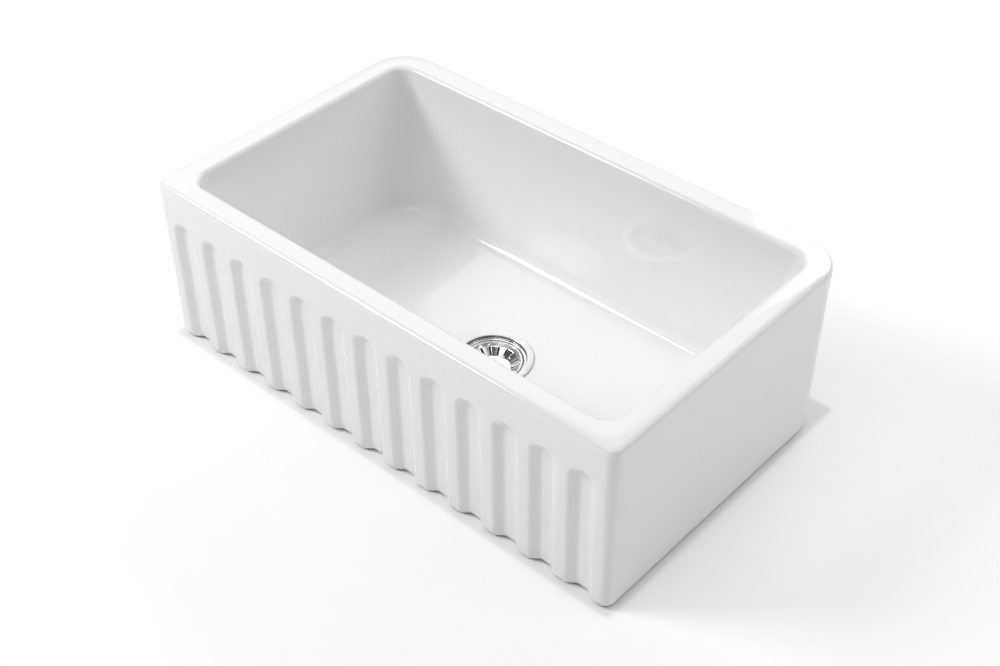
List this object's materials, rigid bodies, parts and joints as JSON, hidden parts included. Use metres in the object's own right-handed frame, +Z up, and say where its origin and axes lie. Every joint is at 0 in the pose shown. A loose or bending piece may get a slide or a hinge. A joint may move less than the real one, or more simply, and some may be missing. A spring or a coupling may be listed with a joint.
{
  "type": "kitchen sink",
  "caption": "Single-bowl farmhouse kitchen sink with a fluted apron front, glazed white, with a lift-out strainer basket in its waste.",
  "frame": {"origin": "middle of the sink's flat base, on its plane, under the centre of the rim; the waste hangs below it", "axes": "+X along the sink to the right seen from the apron, +Y from the apron to the back, +Z up"},
  "size_m": [0.762, 0.4568, 0.32],
  "materials": {
    "glaze": "glossy white glaze over fireclay",
    "polished_steel": "polished stainless sheet",
    "plain_steel": "plain stainless",
    "knob_chrome": "bright chrome",
    "brass": "machined brass",
    "white_plastic": "moulded white polypropylene",
    "grey_rubber": "soft grey foam rubber",
    "black_rubber": "black rubber",
    "fibre": "red fibre"
  },
  "bodies": {
    "sink": {"sink_body": "glaze", "flange_seal": "grey_rubber", "waste_dish": "polished_steel", "body_seal": "black_rubber", "waste_body": "white_plastic", "clamp_screw": "plain_steel", "screw_washer": "fibre", "clamp_nut": "brass"},
    "seal": {"basket_seal": "black_rubber", "stem_ring": "black_rubber"},
    "basket": {"basket_cup": "polished_steel", "seal_retainer": "plain_steel", "basket_stem": "plain_steel", "knob_washer": "plain_steel", "basket_knob": "knob_chrome"}
  },
  "joints": [
    {"name": "basket_lift", "type": "slide", "parent": "sink", "child": "seal", "axis": [0, 0, 1], "range_m": [0, 0.27]},
    {"name": "basket_turn", "type": "hinge", "parent": "seal", "child": "basket", "pos_m": [0, -0.002, 0], "axis": [0, 0, 1], "continuous": true}
  ]
}
